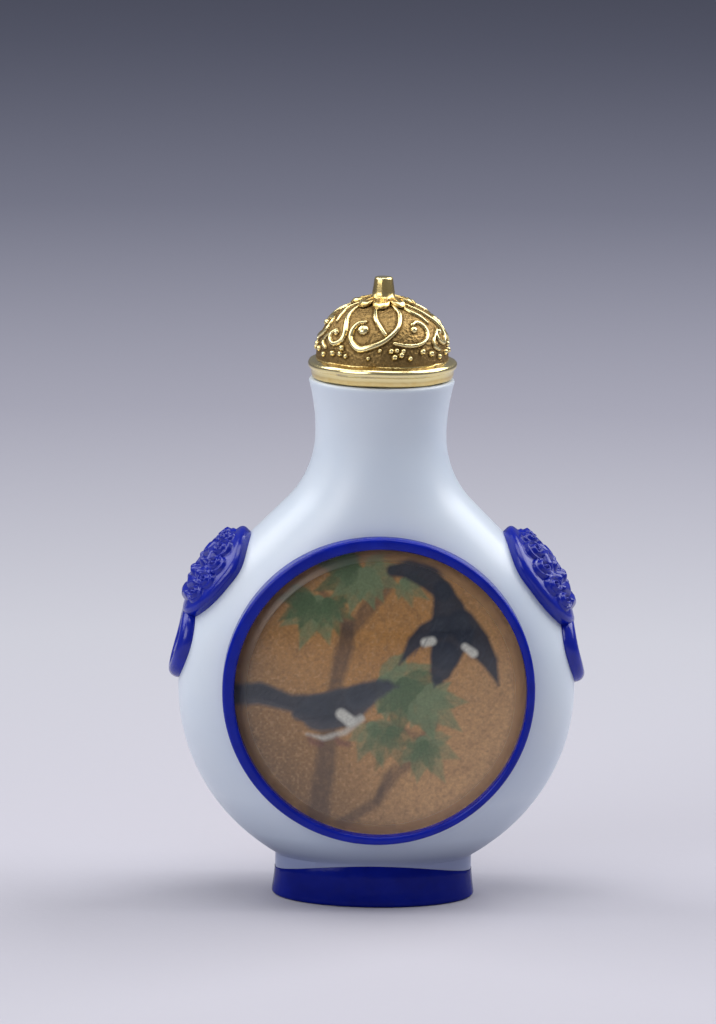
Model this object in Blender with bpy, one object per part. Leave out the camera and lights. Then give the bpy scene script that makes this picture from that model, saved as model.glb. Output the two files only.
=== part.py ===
"""Snuff bottle: a flattened moon-shaped flask of opaque white glass, overlaid and carved in blue glass,
with a painted plaque under a domed crystal on each face and a gilt stopper resting in the mouth.

Blender 4.5, metres, +Z up. The origin is the centre of the foot on the surface it stands on.
The painted front faces -Y, and the mask handles lie on the narrow sides at -X and +X.
"""

import math

import bmesh
import bpy
from mathutils import Vector

# Clearance between pieces that touch
GAP = 0.0001

# White glass body: a round outline from the front, an oval one from above
BODY_RADIUS = 0.0209
BODY_HALF_DEPTH = 0.0098
BODY_SQUARENESS = 2.8
BELLY_ROUNDING = 2.4
SHOULDER_SLOPE = math.radians(45)
SHOULDER_FILLET = 0.0103
NECK_RADIUS = 0.00687
MOUTH_RADIUS = 0.0077
MOUTH_HEIGHT = 0.0554
LIP_ROUNDING = 0.0003
BORE_RADIUS = 0.0036
SIDE_WALL = 0.0034
FLOOR_WALL = 0.0014
PLAQUE_WALL = 0.0017

# Foot, with a shallow hollow underneath and a blue band round its outside
FOOT_HEIGHT = 0.0045
FOOT_HALF_WIDTH = 0.0108
FOOT_HALF_DEPTH = 0.0069
FOOT_TAPER = 0.0004
FOOT_ROUNDING = 0.0004
FOOT_RIM = 0.0022
FOOT_HOLLOW = 0.0012
BAND_THICKNESS = 0.001
BAND_SIDE_HEIGHT = 0.0029
BAND_FRONT_HEIGHT = 0.0043

# Roundel on each face: blue ring, painted plaque and domed crystal
ROUNDEL_RISE = 0.0011
RING_RADIUS = 0.0163
RING_WIDTH = 0.0012
RING_FACE = 0.0096
RING_ROUNDING = 0.0004
SEAT_DEPTH = 0.0064
PLAQUE_THICKNESS = 0.0012
CRYSTAL_EDGE = 0.001
CRYSTAL_BEVEL = 0.0007
CRYSTAL_DOME = 0.0014

# Mask handles on the narrow sides, each with a ring hanging from its mouth; the right mask is the longer one
MASK_HALF_WIDTH = 0.0052
LEFT_MASK_HALF_HEIGHT = 0.0055
RIGHT_MASK_HALF_HEIGHT = 0.0061
MASK_TOP_NARROWING = 0.35
MASK_CHIN_SQUARENESS = 2.8
MASK_ANGLE = math.radians(35.4)
MASK_EDGE = 0.0012
MASK_SWELL = 0.0004
MASK_CARVING = 0.0006
MASK_SINK = 0.0006
HANDLE_ANGLE = math.radians(13)
HANDLE_RADIUS = 0.0032
HANDLE_STROKE = 0.0019
HANDLE_HEIGHT = 0.0011

# Gilt stopper
RIM_OVERHANG = 0.0001
RIM_UNDERCUT = 0.0007
RIM_HEIGHT = 0.0021
DOME_INSET = 0.0008
DOME_HEIGHT = 0.006
DOME_ROUNDING = 2.2
FINIAL_RADIUS = 0.00115
FINIAL_HEIGHT = 0.0025
PLUG_LENGTH = 0.0036
PLUG_TAPER = 0.00035
PLUG_CLEARANCE = 0.0003
MOTIFS = 3
PETALS = 8
PETAL_REACH = 0.0031
PETAL_RISE = 0.0004
TENDRIL_WIDTH = 0.0006
SIDE_TENDRIL_WIDTH = 0.00054
BERRY_RADIUS = 0.00036

# Facets
BODY_SIDES = 28
ROUNDEL_SIDES = 36
MASK_SIDES = 30
MASK_RINGS = 10
HANDLE_SIDES = 20
STOPPER_SIDES = 24
TENDRIL_SIDES = 4
BEAD_SIDES = 6

# A superellipse of this squareness is an ellipse
ROUND = 2

WHITE_GLASS = ("white_glass", (0.78, 0.84, 0.90, 1.0), 0.12, 0.0)
BLUE_GLASS = ("blue_glass", (0.005, 0.015, 0.20, 1.0), 0.10, 0.0)
CRYSTAL = ("crystal", (0.95, 0.95, 0.93, 0.3), 0.03, 0.0)
PAINTED = ("painted_plaque", (0.30, 0.17, 0.08, 1.0), 0.55, 0.0)
GILT = ("gilt_metal", (0.80, 0.58, 0.22, 1.0), 0.28, 1.0)


def material(spec):
    """The Principled material of that name, made once and shared by the pieces that use it."""
    name, colour, roughness, metallic = spec
    found = bpy.data.materials.get(name)
    if found:
        return found
    made = bpy.data.materials.new(name)
    made.use_nodes = True
    shader = made.node_tree.nodes["Principled BSDF"]
    shader.inputs["Base Color"].default_value = colour
    shader.inputs["Alpha"].default_value = colour[3]
    shader.inputs["Roughness"].default_value = roughness
    shader.inputs["Metallic"].default_value = metallic
    made.diffuse_color = colour
    return made


def piece(name, mesh_builder, spec):
    """An object whose mesh is what mesh_builder leaves in an empty bmesh, with its faces turned outwards."""
    bm = bmesh.new()
    mesh_builder(bm)
    bmesh.ops.recalc_face_normals(bm, faces=bm.faces)
    if bm.calc_volume(signed=True) < 0:
        bmesh.ops.reverse_faces(bm, faces=bm.faces)
    bmesh.ops.triangulate(bm, faces=bm.faces)
    mesh = bpy.data.meshes.new(name)
    bm.to_mesh(mesh)
    bm.free()
    mesh.shade_smooth()
    mesh.set_sharp_from_angle(angle=math.radians(40))
    made = bpy.data.objects.new(name, mesh)
    bpy.context.scene.collection.objects.link(made)
    made.data.materials.append(material(spec))
    return made


def helper(name, mesh_builder):
    """A cutter or a shape to be joined on, which isn't a piece itself."""
    made = piece(name, mesh_builder, WHITE_GLASS)
    made.hide_render = True
    made.display_type = "WIRE"
    return made


def boolean(target, operand, operation):
    """Cuts an object away, or joins an object or a whole collection on."""
    modifier = target.modifiers.new(operand.name, "BOOLEAN")
    modifier.operation = operation
    modifier.solver = "EXACT"
    if isinstance(operand, bpy.types.Collection):
        modifier.operand_type = "COLLECTION"
        modifier.collection = operand
    else:
        modifier.object = operand


def skin(bm, rings, closed_loop=False):
    """Quads between rings of equally many points, with a face over each end unless the rings close on themselves."""
    rows = [[bm.verts.new(point) for point in ring] for ring in rings]
    pairs = list(zip(rows, rows[1:]))
    if closed_loop:
        pairs.append((rows[-1], rows[0]))
    for lower, upper in pairs:
        count = len(lower)
        for i in range(count):
            j = (i + 1) % count
            bm.faces.new((lower[i], lower[j], upper[j], upper[i]))
    if not closed_loop:
        bm.faces.new(rows[0])
        bm.faces.new(rows[-1])


def spread(start, end, count):
    """count evenly spaced values from start to end, both included."""
    return [start + (end - start) * i / (count - 1) for i in range(count)]


def signed_power(value, power):
    return math.copysign(abs(value) ** power, value)


def oval(half_width, half_depth, squareness, height, sides=BODY_SIDES):
    """A superellipse. height is a number, or a function of the angle where the ring rises and falls."""
    ring = []
    for i in range(sides):
        angle = 2 * math.pi * i / sides
        level = height(angle) if callable(height) else height
        x = half_width * signed_power(math.cos(angle), 2 / squareness)
        y = half_depth * signed_power(math.sin(angle), 2 / squareness)
        ring.append((x, y, level))
    return ring


# Outline of the body

FOOT_TOP_HALF_WIDTH = FOOT_HALF_WIDTH - FOOT_TAPER
FOOT_TOP_HALF_DEPTH = FOOT_HALF_DEPTH - FOOT_TAPER
BODY_CENTRE = FOOT_HEIGHT + math.sqrt(BODY_RADIUS**2 - FOOT_TOP_HALF_WIDTH**2)
SHOULDER_HEIGHT = BODY_CENTRE + BODY_RADIUS * math.sin(SHOULDER_SLOPE)
FILLET_REACH = BODY_RADIUS + SHOULDER_FILLET - (NECK_RADIUS + SHOULDER_FILLET) * math.cos(SHOULDER_SLOPE)
NECK_HEIGHT = BODY_CENTRE + FILLET_REACH / math.sin(SHOULDER_SLOPE)
FILLET_START = NECK_HEIGHT - SHOULDER_FILLET * math.sin(SHOULDER_SLOPE)
LIP_START = MOUTH_HEIGHT - LIP_ROUNDING


def neck_radius(z):
    """The round neck above its narrowest place, flaring to the mouth."""
    share = (z - NECK_HEIGHT) / (MOUTH_HEIGHT - NECK_HEIGHT)
    return NECK_RADIUS + (MOUTH_RADIUS - NECK_RADIUS) * share**2


def body_section(z):
    """(half width, half depth, squareness) of the body at a height from the foot's top to the mouth."""
    if z >= NECK_HEIGHT:
        radius = neck_radius(z)
        return radius, radius, ROUND
    if z >= FILLET_START:
        drop = NECK_HEIGHT - z
        half_width = NECK_RADIUS + SHOULDER_FILLET - math.sqrt(SHOULDER_FILLET**2 - drop**2)
    elif z >= SHOULDER_HEIGHT:
        rise = z - BODY_CENTRE
        half_width = (BODY_RADIUS - rise * math.sin(SHOULDER_SLOPE)) / math.cos(SHOULDER_SLOPE)
    else:
        half_width = math.sqrt(BODY_RADIUS**2 - (z - BODY_CENTRE) ** 2)
    if z >= BODY_CENTRE:
        share = (z - BODY_CENTRE) / (NECK_HEIGHT - BODY_CENTRE)
        half_depth = NECK_RADIUS + (BODY_HALF_DEPTH - NECK_RADIUS) * (1 - share**2) ** 1.5
    else:
        share = (BODY_CENTRE - z) / (BODY_CENTRE - FOOT_HEIGHT)
        narrowing = 1 - (FOOT_TOP_HALF_DEPTH / BODY_HALF_DEPTH) ** BELLY_ROUNDING
        half_depth = BODY_HALF_DEPTH * (1 - narrowing * share**BELLY_ROUNDING) ** (1 / BELLY_ROUNDING)
    return half_width, half_depth, ROUND + (BODY_SQUARENESS - ROUND) * (1 - share**2) ** 2


def body_rings(grown=0.0):
    """Rings up the outside of the glass, from the foot's top to the start of the lip."""
    foot_angle = math.atan2(FOOT_HEIGHT - BODY_CENTRE, FOOT_TOP_HALF_WIDTH)
    turns = spread(foot_angle, SHOULDER_SLOPE, 13)
    levels = [BODY_CENTRE + BODY_RADIUS * math.sin(angle) for angle in turns]
    levels += spread(SHOULDER_HEIGHT, FILLET_START, 3)[1:]
    turns = spread(SHOULDER_SLOPE, 0, 6)[1:]
    levels += [NECK_HEIGHT - SHOULDER_FILLET * math.sin(angle) for angle in turns]
    levels += spread(NECK_HEIGHT, LIP_START, 4)[1:]
    rings = []
    for z in levels:
        half_width, half_depth, squareness = body_section(z)
        rings.append(oval(half_width + grown, half_depth + grown, squareness, z))
    return rings


def foot_section(z, inset=0.0):
    """(half width, half depth) of the foot, which flares downwards and is rounded at its lower edge."""
    flare = FOOT_TAPER * (1 - z / FOOT_HEIGHT) ** 2
    under = max(0.0, FOOT_ROUNDING - z)
    eased = FOOT_ROUNDING - math.sqrt(FOOT_ROUNDING**2 - under**2)
    grown = flare - eased - inset
    return FOOT_TOP_HALF_WIDTH + grown, FOOT_TOP_HALF_DEPTH + grown


def band_top(angle):
    """The blue band stands higher on the front and the back than on the narrow sides."""
    return BAND_SIDE_HEIGHT + (BAND_FRONT_HEIGHT - BAND_SIDE_HEIGHT) * math.sin(angle) ** 2


def ledge(angle):
    return band_top(angle) + GAP


# White glass bottle

CAVITY_RADIUS = BODY_RADIUS - SIDE_WALL
CAVITY_HALF_DEPTH = SEAT_DEPTH - PLAQUE_WALL
CAVITY_FLOOR = BODY_CENTRE - CAVITY_RADIUS + FLOOR_WALL
BORE_START = BODY_CENTRE + math.sqrt(CAVITY_RADIUS**2 - BORE_RADIUS**2)


def cavity_section(z):
    """(half width, half depth) of the hollow below the neck's bore."""
    half_width = math.sqrt(CAVITY_RADIUS**2 - (z - BODY_CENTRE) ** 2)
    rise = (z - BODY_CENTRE) / CAVITY_RADIUS
    round_off = (1 - abs(rise) ** BELLY_ROUNDING) ** (1 / BELLY_ROUNDING)
    least = BORE_RADIUS if z > BODY_CENTRE else 0.0
    return half_width, max(least, CAVITY_HALF_DEPTH * round_off)


def bottle_mesh(bm):
    """One shell from the hollow under the foot, up the outside, over the lip and down to the cavity's floor."""
    core = BAND_THICKNESS + GAP
    foot_width, foot_depth = foot_section(0, core)
    rim_width, rim_depth = foot_section(0, FOOT_RIM)
    slant = FOOT_HOLLOW / 2
    rings = [oval(rim_width / 2, rim_depth / 2, ROUND, FOOT_HOLLOW)]
    rings.append(oval(rim_width - slant, rim_depth - slant, ROUND, FOOT_HOLLOW))
    rings.append(oval(rim_width, rim_depth, ROUND, 0))
    rings.append(oval(foot_width, foot_depth, ROUND, 0))
    middle = BAND_SIDE_HEIGHT / 2
    rings.append(oval(*foot_section(middle, core), ROUND, middle))
    rings.append(oval(*foot_section(BAND_FRONT_HEIGHT, core), ROUND, ledge))
    rings.append(oval(*foot_section(BAND_FRONT_HEIGHT), ROUND, ledge))

    rings += body_rings()
    lip = neck_radius(LIP_START) - LIP_ROUNDING
    rings.append(oval(lip, lip, ROUND, MOUTH_HEIGHT))
    rings.append(oval(BORE_RADIUS, BORE_RADIUS, ROUND, MOUTH_HEIGHT))
    top_angle = math.asin((BORE_START - BODY_CENTRE) / CAVITY_RADIUS)
    floor_angle = math.asin((CAVITY_FLOOR - BODY_CENTRE) / CAVITY_RADIUS)
    for angle in spread(top_angle, floor_angle, 8):
        z = BODY_CENTRE + CAVITY_RADIUS * math.sin(angle)
        rings.append(oval(*cavity_section(z), ROUND, z))
    skin(bm, rings)


# Blue glass band on the foot


def foot_band_mesh(bm):
    outer = [oval(*foot_section(z), ROUND, z) for z in (0, FOOT_ROUNDING / 2, FOOT_ROUNDING)]
    middle = (FOOT_ROUNDING + BAND_SIDE_HEIGHT) / 2
    outer.append(oval(*foot_section(middle), ROUND, middle))
    outer.append(oval(*foot_section(BAND_FRONT_HEIGHT), ROUND, band_top))
    middle = BAND_SIDE_HEIGHT / 2
    inner = [oval(*foot_section(BAND_FRONT_HEIGHT, BAND_THICKNESS), ROUND, band_top)]
    inner.append(oval(*foot_section(middle, BAND_THICKNESS), ROUND, middle))
    inner.append(oval(*foot_section(0, BAND_THICKNESS), ROUND, 0))
    skin(bm, outer + inner, closed_loop=True)


# Roundels

ROUNDEL_CENTRE = BODY_CENTRE + ROUNDEL_RISE
RING_INNER_RADIUS = RING_RADIUS - RING_WIDTH
INLAY_RADIUS = RING_INNER_RADIUS - GAP
PLAQUE_BACK = SEAT_DEPTH + GAP
PLAQUE_FACE = PLAQUE_BACK + PLAQUE_THICKNESS
CRYSTAL_BACK = PLAQUE_FACE + GAP
CRYSTAL_SHOULDER = CRYSTAL_BACK + CRYSTAL_EDGE


def roundel_ring(side, radius, depth):
    """A circle facing the front (side -1) or the back (side 1), at that distance from the bottle's middle plane."""
    ring = []
    for i in range(ROUNDEL_SIDES):
        angle = 2 * math.pi * i / ROUNDEL_SIDES
        ring.append((radius * math.cos(angle), side * depth, ROUNDEL_CENTRE + radius * math.sin(angle)))
    return ring


def seat_mesh(side):
    def build(bm):
        outside = BODY_HALF_DEPTH + RING_FACE
        skin(bm, [roundel_ring(side, RING_RADIUS + GAP, depth) for depth in (SEAT_DEPTH, outside)])

    return build


def blue_ring_mesh(side):
    def build(bm):
        ease = RING_ROUNDING
        profile = (
            (RING_INNER_RADIUS, PLAQUE_BACK),
            (RING_RADIUS, PLAQUE_BACK),
            (RING_RADIUS, RING_FACE - ease),
            (RING_RADIUS - ease, RING_FACE),
            (RING_INNER_RADIUS, RING_FACE),
        )
        skin(bm, [roundel_ring(side, radius, depth) for radius, depth in profile], closed_loop=True)

    return build


def plaque_mesh(side):
    def build(bm):
        skin(bm, [roundel_ring(side, INLAY_RADIUS, depth) for depth in (PLAQUE_BACK, PLAQUE_FACE)])

    return build


def crystal_mesh(side):
    def build(bm):
        dome_radius = INLAY_RADIUS - CRYSTAL_BEVEL
        dome_base = CRYSTAL_SHOULDER + CRYSTAL_BEVEL / 2
        rings = [
            roundel_ring(side, INLAY_RADIUS, CRYSTAL_BACK),
            roundel_ring(side, INLAY_RADIUS, CRYSTAL_SHOULDER),
        ]
        for share in (1, 0.6, 0.2):
            rings.append(roundel_ring(side, dome_radius * share, dome_base + CRYSTAL_DOME * (1 - share**2)))
        skin(bm, rings)

    return build


# Mask handles, carved on a patch of the body's narrow side


def side_point(side, across, up, lift):
    """A point of the narrow side at -X or +X: across is its distance towards the back, up is measured along
    the outline from the outline's level point, and lift is how far it stands off the glass."""

    def on_glass(y, along):
        z = BODY_CENTRE + BODY_RADIUS * math.sin(along / BODY_RADIUS)
        half_width, half_depth, squareness = body_section(z)
        reach = half_width * (1 - abs(y / half_depth) ** squareness) ** (1 / squareness)
        return Vector((side * reach, y, z))

    step = BODY_RADIUS * 0.002
    here = on_glass(across, up)
    slope_up = on_glass(across, up + step) - on_glass(across, up - step)
    slope_across = on_glass(across + step, up) - on_glass(across - step, up)
    normal = slope_across.cross(slope_up).normalized()
    if normal.x * side < 0:
        normal.negate()
    return here + normal * lift


def bump(x, y, at_x, at_y, size):
    """1 at a place on the mask, easing to 0 at that distance from it."""
    far = math.hypot(x - at_x, y - at_y) / size
    return (1 - far**2) ** 2 if far < 1 else 0.0


def ridge(x, y, start, end, width):
    """1 along a straight stretch of the mask, easing to 0 at that distance from it."""
    run = (end[0] - start[0], end[1] - start[1])
    along = ((x - start[0]) * run[0] + (y - start[1]) * run[1]) / (run[0] ** 2 + run[1] ** 2)
    along = min(1.0, max(0.0, along))
    return bump(x, y, start[0] + along * run[0], start[1] + along * run[1], width)


def mask_relief(across, up):
    """Carving of a lion mask on a shield from -1 to 1 each way, as a height: brows, eyes, nose, jaw and curls."""
    x = abs(across)
    height = 0.85 * bump(x, up, 0.33, 0.10, 0.19)
    height += 0.80 * ridge(x, up, (0.13, 0.27), (0.52, 0.38), 0.15)
    height += 0.75 * ridge(x, up, (0.0, 0.40), (0.0, -0.05), 0.16)
    height += 1.00 * bump(x, up, 0.0, -0.20, 0.25)
    height += 0.75 * ridge(x, up, (0.22, -0.30), (0.46, -0.44), 0.20)
    height += 0.60 * ridge(x, up, (0.0, -0.66), (0.34, -0.68), 0.16)
    height += 0.70 * bump(x, up, 0.0, 0.70, 0.24)
    for turn in (8, 34, 60):
        angle = math.radians(turn)
        height += 0.75 * bump(x, up, 0.76 * math.cos(angle), 0.76 * math.sin(angle), 0.22)
    return height


def mask_outline(angle):
    """The shield's edge in that direction, as (across, up): drawn in to a round top, broad and squarer at the chin."""
    rise = math.sin(angle)
    squareness = ROUND if rise > 0 else MASK_CHIN_SQUARENESS
    narrowed = 1 - MASK_TOP_NARROWING * max(0.0, rise)
    across = signed_power(math.cos(angle), 2 / squareness) * narrowed
    return across, signed_power(rise, 2 / squareness)


def mask_ring(side, share, sunk=False):
    """A closed line on the mask's face at that share of its reach, or the line under it within the glass."""
    half_height = LEFT_MASK_HALF_HEIGHT if side < 0 else RIGHT_MASK_HALF_HEIGHT
    swell = MASK_SWELL * (1 - share**2)
    ring = []
    for i in range(MASK_SIDES):
        x, y = (share * edge for edge in mask_outline(2 * math.pi * i / MASK_SIDES))
        height = -MASK_SINK if sunk else MASK_EDGE + swell + MASK_CARVING * mask_relief(x, y)
        up = MASK_ANGLE * BODY_RADIUS + y * half_height
        ring.append(side_point(side, x * MASK_HALF_WIDTH, up, height))
    return ring


def mask_mesh(side):
    def build(bm):
        rings = [mask_ring(side, share) for share in spread(0.06, 1, MASK_RINGS)]
        rings += [mask_ring(side, share, sunk=True) for share in (1, 0.7, 0.4, 0.1)]
        skin(bm, rings)

    return build


def handle_mesh(side):
    """The ring that hangs from the mask's mouth, carved as a rounded stroke."""

    def build(bm):
        half = HANDLE_STROKE / 2
        top = HANDLE_HEIGHT
        outer_half = ((half / 2, top), (half, top / 2), (half, -MASK_SINK))
        profile = [(-offset, lift) for offset, lift in reversed(outer_half)] + list(outer_half)
        rings = []
        for i in range(HANDLE_SIDES):
            angle = 2 * math.pi * i / HANDLE_SIDES
            ring = []
            for offset, lift in profile:
                radius = HANDLE_RADIUS + offset
                across = radius * math.cos(angle)
                up = HANDLE_ANGLE * BODY_RADIUS + radius * math.sin(angle)
                ring.append(side_point(side, across, up, lift))
            rings.append(ring)
        skin(bm, rings, closed_loop=True)

    return build


# Gilt stopper

STOPPER_BASE = MOUTH_HEIGHT + GAP
DOME_BASE = STOPPER_BASE + RIM_HEIGHT
DOME_RADIUS = MOUTH_RADIUS - DOME_INSET
DOME_TOP = DOME_BASE + DOME_HEIGHT
RIM_RADIUS = MOUTH_RADIUS + RIM_OVERHANG
PLUG_RADIUS = BORE_RADIUS - PLUG_CLEARANCE


def dome_radius(z):
    share = (z - DOME_BASE) / DOME_HEIGHT
    return DOME_RADIUS * (1 - share**DOME_ROUNDING) ** (1 / DOME_ROUNDING)


def circle(radius, z):
    return oval(radius, radius, ROUND, z, STOPPER_SIDES)


def stopper_mesh(bm):
    """The turned form: a plug with a tapered end, a rim with a rounded edge, the dome and the finial."""
    rings = [
        circle(PLUG_RADIUS - PLUG_TAPER, STOPPER_BASE - PLUG_LENGTH),
        circle(PLUG_RADIUS, STOPPER_BASE - PLUG_LENGTH + 2 * PLUG_TAPER),
        circle(PLUG_RADIUS, STOPPER_BASE),
        circle(RIM_RADIUS - RIM_UNDERCUT, STOPPER_BASE),
        circle(RIM_RADIUS, STOPPER_BASE + RIM_HEIGHT * 0.5),
        circle(RIM_RADIUS, STOPPER_BASE + RIM_HEIGHT * 0.7),
        circle(RIM_RADIUS - RIM_UNDERCUT / 2, STOPPER_BASE + RIM_HEIGHT * 0.85),
        circle(DOME_RADIUS, DOME_BASE),
    ]
    for turn in spread(0, 72, 6)[1:]:
        z = DOME_BASE + DOME_HEIGHT * math.sin(math.radians(turn))
        rings.append(circle(dome_radius(z), z))
    finial_profile = ((1.15, 0.25), (0.85, 0.93), (0.7, 1))
    for radius_share, height_share in finial_profile:
        rings.append(circle(FINIAL_RADIUS * radius_share, DOME_TOP + FINIAL_HEIGHT * height_share))
    skin(bm, rings)


def on_dome(turn, height, lift=0.0):
    """A point over the dome: turn in degrees round it from the front, height as a share of the dome's."""
    z = DOME_BASE + DOME_HEIGHT * height
    radius = dome_radius(z)
    angle = math.radians(turn - 90)
    step = DOME_HEIGHT * 0.01
    slope = (dome_radius(z + step) - dome_radius(z - step)) / (2 * step)
    out = Vector((math.cos(angle), math.sin(angle), -slope)).normalized()
    return Vector((radius * math.cos(angle), radius * math.sin(angle), z)) + out * lift


def scroll(turn, height, radius, start, sweep, count):
    """Places along a spiral on the dome that winds in to its middle, as (turn, height). Angles are in degrees."""
    places = []
    for share in spread(0, 1, count):
        angle = math.radians(start + sweep * share)
        reach = radius * (1 - 0.75 * share)
        across = math.degrees(reach * math.cos(angle) / DOME_RADIUS)
        places.append((turn + across, height + reach * math.sin(angle) / DOME_HEIGHT))
    return places


def tube_mesh(places, width):
    """A tendril: a ridge through the places, half sunk in the dome and tapered at its ends."""

    def build(bm):
        points = [on_dome(turn, height) for turn, height in places]
        rings = []
        for i, point in enumerate(points):
            before, after = points[max(0, i - 1)], points[min(len(points) - 1, i + 1)]
            along = (after - before).normalized()
            out = (on_dome(*places[i], DOME_HEIGHT * 0.1) - point).normalized()
            aside = along.cross(out).normalized()
            half = width / 2 * (0.6 if i in (0, len(points) - 1) else 1.0)
            ring = []
            for k in range(TENDRIL_SIDES):
                angle = 2 * math.pi * k / TENDRIL_SIDES + math.pi / 2
                ring.append(point + (aside * math.cos(angle) + out * math.sin(angle)) * half)
            rings.append(ring)
        skin(bm, rings)

    return build


def bead_mesh(turn, height, radius):
    def build(bm):
        bmesh.ops.create_uvsphere(bm, u_segments=BEAD_SIDES, v_segments=4, radius=radius)
        bmesh.ops.translate(bm, verts=bm.verts, vec=on_dome(turn, height))

    return build


def petal_mesh(turn, rise_height):
    """A leaf of the collar round the finial, rounded at its tip, ribbed and rooted against the stalk."""

    def build(bm):
        angle = math.radians(turn - 90)
        out = Vector((math.cos(angle), math.sin(angle), 0))
        aside = Vector((-math.sin(angle), math.cos(angle), 0))
        full_half_width = math.pi * PETAL_REACH / PETALS * 0.9
        rings = []
        for share, width_share in ((0.3, 0.5), (0.7, 0.95), (0.9, 0.8), (1.0, 0.3)):
            reach = PETAL_REACH * share
            level = DOME_HEIGHT * (1 - (reach / DOME_RADIUS) ** DOME_ROUNDING) ** (1 / DOME_ROUNDING)
            root = out * reach + Vector((0, 0, DOME_BASE + level - rise_height))
            half = aside * (width_share * full_half_width)
            rib = Vector((0, 0, rise_height * (3.2 - 1.4 * share)))
            edge = rib * 0.8
            rings.append([root - half, root + half, root + half + edge, root + rib, root - half + edge])
        skin(bm, rings)

    return build


def relief_shapes():
    """Everything cast on the dome: MOTIFS groups of scrolls and berries, and the collar's petals."""
    shapes = []
    for motif in range(MOTIFS):
        base = 360 / MOTIFS * motif
        main = [(base + 25, 0.9), (base + 19, 0.68), (base + 6, 0.42)]
        main += scroll(base - 20, 0.5, 0.00135, -65, -440, 9)
        shapes.append(tube_mesh(main, TENDRIL_WIDTH))
        second = [(base + 13, 0.42)] + scroll(base + 37, 0.52, 0.0011, -85, 400, 8)
        third = [(base + 56, 0.9), (base + 61, 0.72)] + scroll(base + 68, 0.5, 0.0012, 120, 330, 7)
        bar = [(base - 10, 0.9), (base - 6, 0.75), (base + 1, 0.58)]
        shapes += [tube_mesh(places, SIDE_TENDRIL_WIDTH) for places in (second, third, bar)]
        for turn, height in ((9, 0.2), (14, 0.22), (12, 0.1), (-38, 0.2)):
            shapes.append(bead_mesh(base + turn, height, BERRY_RADIUS))
    for petal in range(PETALS):
        rise_height = PETAL_RISE * (0.75 if petal % 2 else 1)
        shapes.append(petal_mesh(360 / PETALS * petal, rise_height))
    return shapes


def build_stopper():
    stopper = piece("stopper", stopper_mesh, GILT)
    relief = bpy.data.collections.new("stopper_relief")
    relief.hide_render = True
    bpy.context.scene.collection.children.link(relief)
    for number, shape in enumerate(relief_shapes()):
        made = helper(f"relief_{number}", shape)
        bpy.context.scene.collection.objects.unlink(made)
        relief.objects.link(made)
    boolean(stopper, relief, "UNION")


def main():
    for old in list(bpy.data.objects):
        bpy.data.objects.remove(old)

    bottle = piece("bottle", bottle_mesh, WHITE_GLASS)
    piece("foot_band", foot_band_mesh, BLUE_GLASS)

    for side, name in ((-1, "front"), (1, "back")):
        boolean(bottle, helper(f"{name}_seat", seat_mesh(side)), "DIFFERENCE")
        piece(f"{name}_ring", blue_ring_mesh(side), BLUE_GLASS)
        piece(f"{name}_plaque", plaque_mesh(side), PAINTED)
        piece(f"{name}_crystal", crystal_mesh(side), CRYSTAL)

    glass = helper("glass_and_clearance", lambda bm: skin(bm, body_rings(grown=GAP)))
    for side, name in ((-1, "left"), (1, "right")):
        mask = piece(f"{name}_mask", mask_mesh(side), BLUE_GLASS)
        boolean(mask, helper(f"{name}_handle", handle_mesh(side)), "UNION")
        boolean(mask, glass, "DIFFERENCE")

    build_stopper()


main()
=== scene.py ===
import math

import bmesh
import bpy
import numpy as np
from mathutils import Matrix, Quaternion, Vector


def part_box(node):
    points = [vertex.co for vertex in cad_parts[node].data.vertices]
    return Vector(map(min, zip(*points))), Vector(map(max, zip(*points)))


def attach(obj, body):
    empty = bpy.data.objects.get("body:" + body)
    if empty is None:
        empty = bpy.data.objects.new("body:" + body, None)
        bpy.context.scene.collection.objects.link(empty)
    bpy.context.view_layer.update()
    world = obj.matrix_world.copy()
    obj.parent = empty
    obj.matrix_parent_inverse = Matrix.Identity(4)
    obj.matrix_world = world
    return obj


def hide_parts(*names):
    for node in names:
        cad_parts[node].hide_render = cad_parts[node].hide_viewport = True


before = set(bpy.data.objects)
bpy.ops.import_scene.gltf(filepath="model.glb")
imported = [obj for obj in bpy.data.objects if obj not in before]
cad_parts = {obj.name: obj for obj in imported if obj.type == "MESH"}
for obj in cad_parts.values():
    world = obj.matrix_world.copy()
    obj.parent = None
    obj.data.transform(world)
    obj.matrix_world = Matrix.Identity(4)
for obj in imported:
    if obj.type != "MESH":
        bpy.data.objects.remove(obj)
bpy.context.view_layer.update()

# White glass bottle, blown thick and then ground and polished to shape. It is one piece with its neck and
# the core of its foot, hollow down to the foot, with a round seat cut into each face for a roundel.

body_radius = 0.0209
body_half_depth = 0.0098
body_squareness = 2.8
belly_rounding = 2.4
shoulder_slope = math.radians(45)
shoulder_fillet = 0.0103
neck_radius = 0.00687
mouth_radius = 0.0077
lip_rounding = 0.0003
bore_radius = 0.0036
side_wall = 0.0034
floor_wall = 0.0014
plaque_wall = 0.0017
foot_height = 0.0045
foot_half_width = 0.0108
foot_half_depth = 0.0069
foot_taper = 0.0004
foot_rounding = 0.0004
foot_rim = 0.0022
foot_hollow = 0.0012
band_thickness = 0.001
band_side_height = 0.0029
band_front_height = 0.00442
body_sides = 192
seat_cutter_reach = 0.02

mouth_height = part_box("bottle")[1].z
ring_low, ring_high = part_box("front_ring")
roundel_centre = (ring_low.z + ring_high.z) / 2
roundel_radius = (ring_high.z - ring_low.z) / 2
ring_face = -ring_low.y
seat_depth = -ring_high.y

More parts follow.
